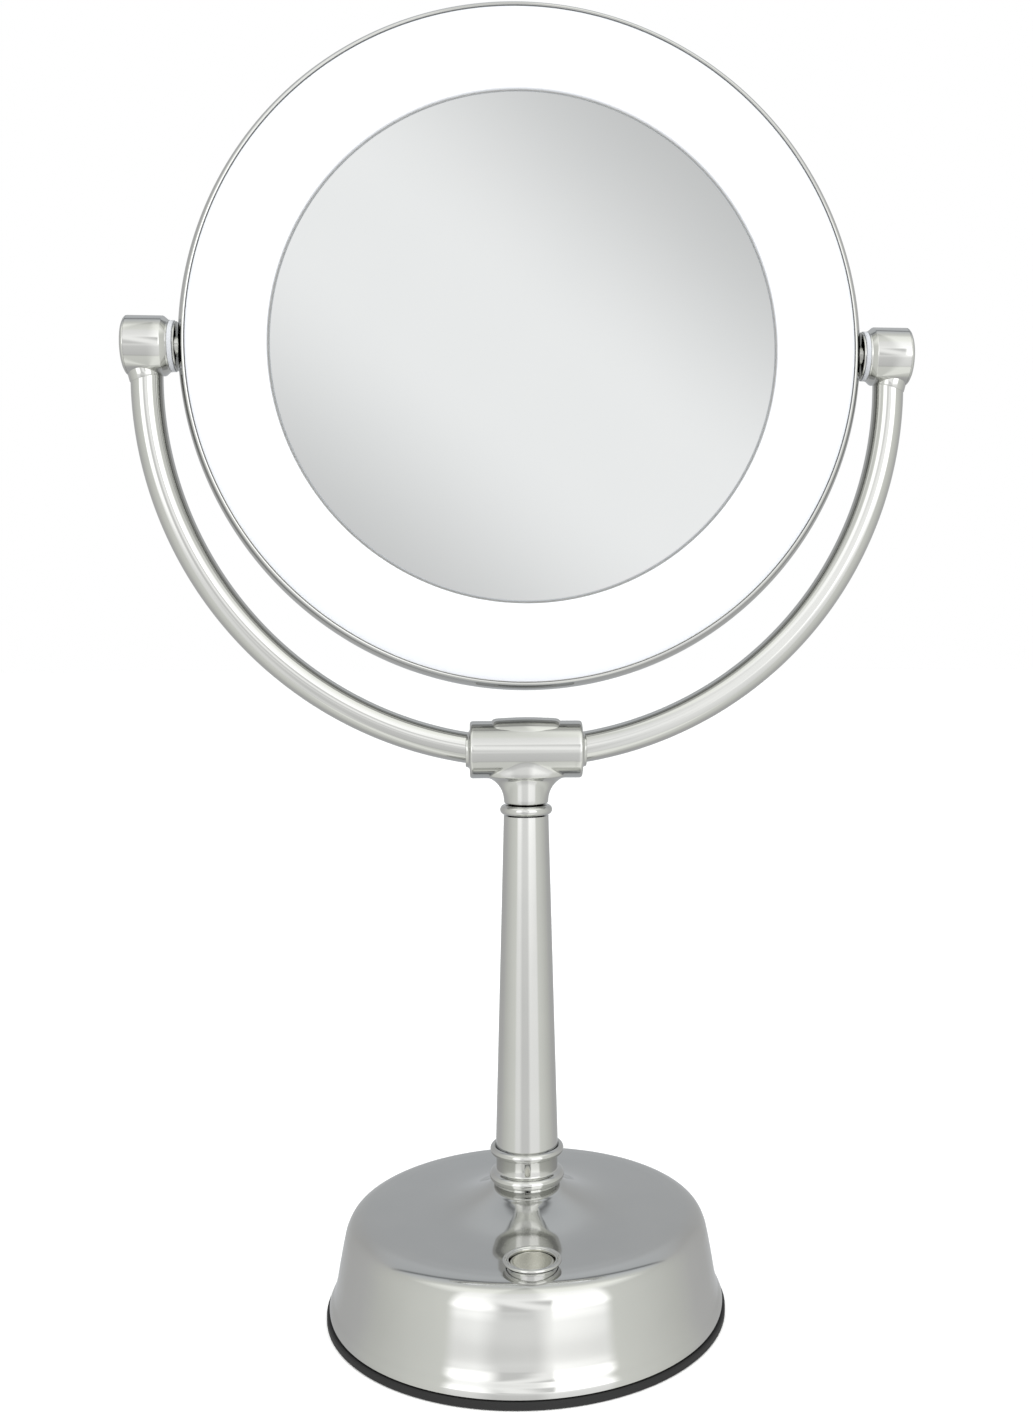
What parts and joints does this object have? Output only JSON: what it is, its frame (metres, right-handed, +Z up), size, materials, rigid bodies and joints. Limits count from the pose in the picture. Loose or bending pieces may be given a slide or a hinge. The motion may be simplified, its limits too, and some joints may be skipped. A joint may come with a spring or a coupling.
{
  "type": "lighted vanity mirror",
  "caption": "Free-standing round vanity mirror with a lit ring round each face, hung in a U-shaped yoke on a tapered column and a weighted round base with a push button.",
  "frame": {"origin": "centre of the foot ring's underside, on the table", "axes": "+Z up the column, +X to the right along the head's tilt axis, -Y towards the person"},
  "size_m": [0.2758, 0.142, 0.4595],
  "materials": {
    "chrome_plate": "polished nickel-chrome plating",
    "black_rubber": "matt moulded rubber",
    "black_abs": "fine-textured moulded ABS",
    "contact_metal": "plated sheet brass",
    "cast_ballast": "raw casting",
    "circuit_board": "solder-masked laminate",
    "switch_plastic": "moulded nylon",
    "zinc_steel": "zinc-plated steel",
    "lead_sheath": "soft PVC sheath",
    "lit_acrylic": "satin opal acrylic, lit from inside",
    "mirror_glass": "silvered float glass",
    "white_plastic": "moulded white ABS",
    "lamp_strip": "lamps on a flexible strip",
    "cell_sleeve": "printed-free shrink sleeve",
    "nylon_washer": "grey nylon"
  },
  "bodies": {
    "stand": {"ballast_plate": "cast_ballast", "base_shell": "chrome_plate", "battery_cell_1": "cell_sleeve", "battery_cell_2": "cell_sleeve", "battery_cell_3": "cell_sleeve", "battery_contact_left": "contact_metal", "battery_contact_right": "contact_metal", "bottom_cover": "black_abs", "button_bezel": "chrome_plate", "button_spring": "zinc_steel", "clamp_washer": "zinc_steel", "column_collar": "chrome_plate", "column_top_bead": "chrome_plate", "column_tube": "chrome_plate", "control_board": "circuit_board", "cover_screw_1": "zinc_steel", "cover_screw_2": "zinc_steel", "cover_screw_3": "zinc_steel", "cover_screw_4": "zinc_steel", "dc_inlet": "black_abs", "foot_ring": "black_rubber", "hub_cap_left": "chrome_plate", "hub_cap_right": "chrome_plate", "hub_left": "chrome_plate", "hub_right": "chrome_plate", "lamp_lead": "lead_sheath", "pivot_spacer_left": "nylon_washer", "pivot_spacer_right": "nylon_washer", "spacer_sleeve": "zinc_steel", "switch_body": "switch_plastic", "tee_fitting": "chrome_plate", "tee_top_cover": "chrome_plate", "tie_rod": "zinc_steel", "tie_rod_nut": "zinc_steel", "yoke_arm_left": "chrome_plate", "yoke_arm_right": "chrome_plate"},
    "head": {"front_diffuser": "lit_acrylic", "front_mirror": "mirror_glass", "light_frame": "white_plastic", "light_strip": "lamp_strip", "pivot_nut_left": "zinc_steel", "pivot_nut_right": "zinc_steel", "rear_diffuser": "lit_acrylic", "rear_mirror": "mirror_glass", "rim_band": "chrome_plate", "trunnion_left": "chrome_plate", "trunnion_nut_left": "zinc_steel", "trunnion_nut_right": "zinc_steel", "trunnion_right": "chrome_plate", "wave_washer_left": "zinc_steel", "wave_washer_right": "zinc_steel"},
    "button": {"push_button": "chrome_plate"},
    "door": {"battery_door": "black_abs"}
  },
  "joints": [
    {"name": "head_tilt", "type": "hinge", "parent": "stand", "child": "head", "pos_m": [0, 0, 0.3405], "axis": [1, 0, 0], "range_deg": [-180, 180]},
    {"name": "button_press", "type": "slide", "parent": "stand", "child": "button", "axis": [0, 0, -1], "range_m": [0, 0.0015], "stiffness_N_per_m": 400, "springref_m": -0.002, "deforming": ["button_spring"]},
    {"name": "battery_door_lift", "type": "slide", "parent": "stand", "child": "door", "axis": [0, 0, -1], "range_m": [0, 0.03]}
  ]
}
